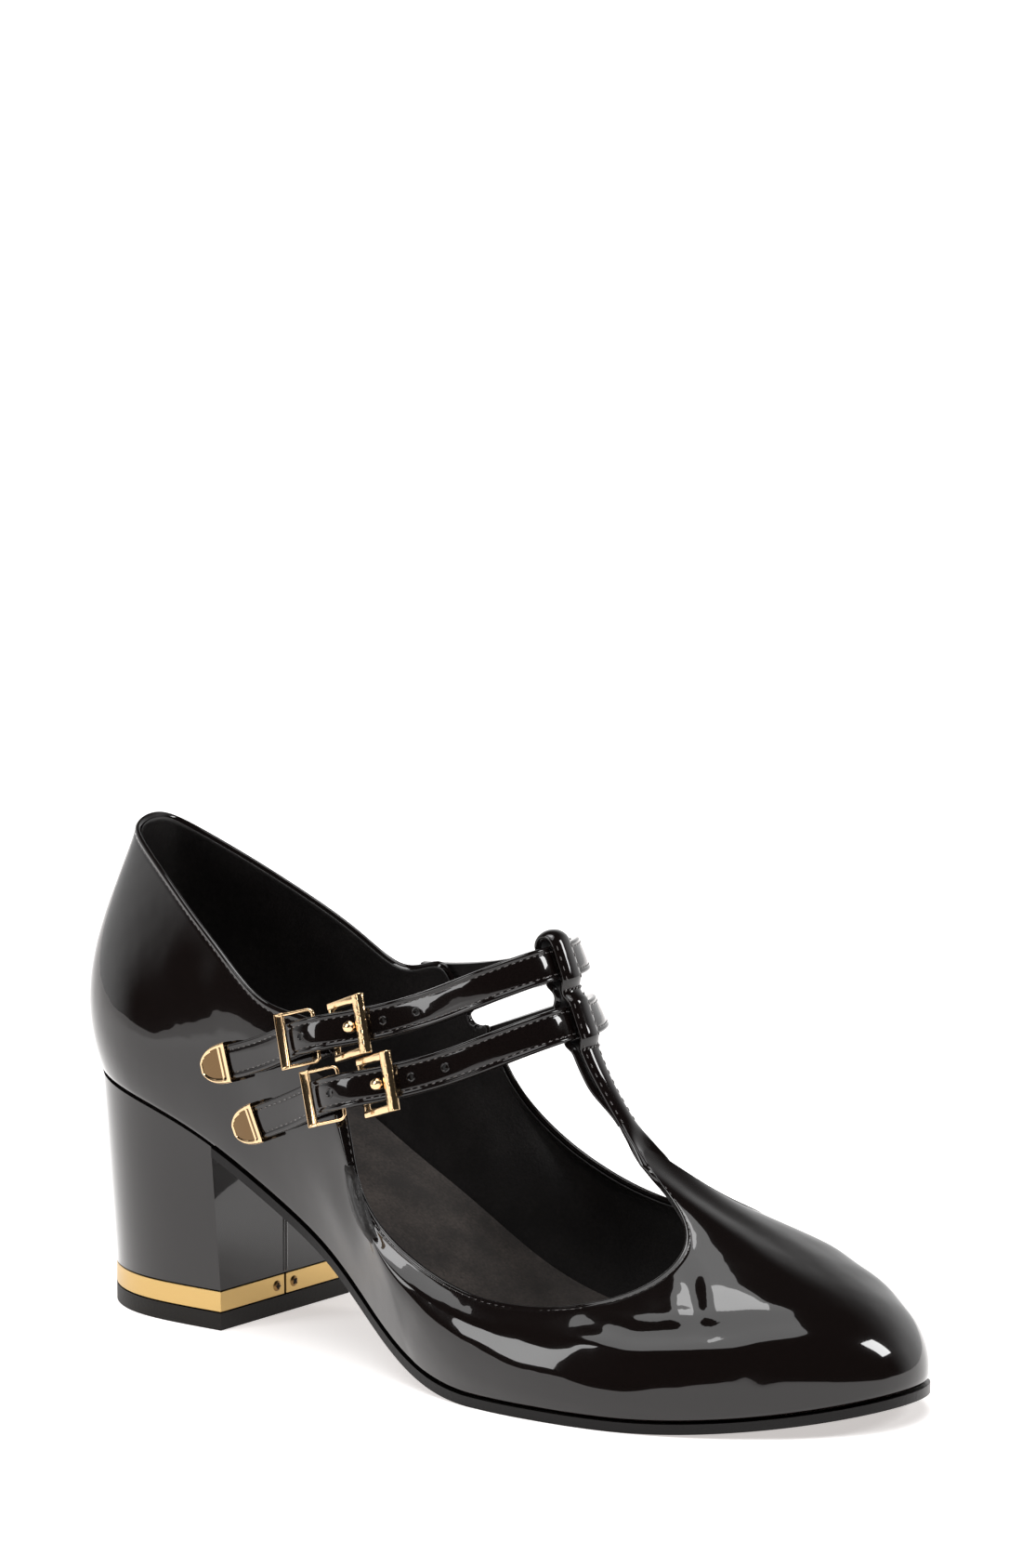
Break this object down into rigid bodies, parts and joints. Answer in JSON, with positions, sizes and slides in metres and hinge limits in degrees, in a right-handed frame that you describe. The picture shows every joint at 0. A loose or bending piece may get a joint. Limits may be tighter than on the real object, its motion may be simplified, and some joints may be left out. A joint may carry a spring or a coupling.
{
  "type": "t-strap shoe",
  "caption": "Right-foot T-strap pump in black patent with a hollow last-shaped upper, buckled ankle straps, gold fittings and a covered block heel.",
  "frame": {"origin": "centre of the bottom face of the heel's top piece, on the floor", "axes": "toe +X, wearer's left +Y (the medial side of this right shoe), up +Z"},
  "size_m": [0.2276, 0.0832, 0.1159],
  "materials": {
    "patent_upper": "high gloss patent",
    "patent_heel": "high gloss patent",
    "patent_strap": "high gloss patent",
    "sock": "matt, fine grain",
    "sole_rubber": "satin",
    "top_piece_rubber": "satin",
    "gold_band": "satin pale gold plate",
    "gold_fittings": "polished pale gold plate",
    "screw_brass": "dull"
  },
  "bodies": {
    "root": {"upper": "patent_upper", "insole": "sock", "outsole": "sole_rubber", "heel_block": "patent_heel", "heel_band": "gold_band", "band_screw_left": "screw_brass", "band_screw_right": "screw_brass", "top_piece": "top_piece_rubber", "strap_upper": "patent_strap", "strap_lower": "patent_strap", "buckle_tab_upper": "patent_strap", "buckle_tab_lower": "patent_strap", "buckle_frame_upper": "gold_fittings", "buckle_frame_lower": "gold_fittings", "prong_upper": "gold_fittings", "prong_lower": "gold_fittings", "keeper_upper": "gold_fittings", "keeper_lower": "gold_fittings", "strap_tip_upper": "gold_fittings", "strap_tip_lower": "gold_fittings"}
  },
  "joints": []
}
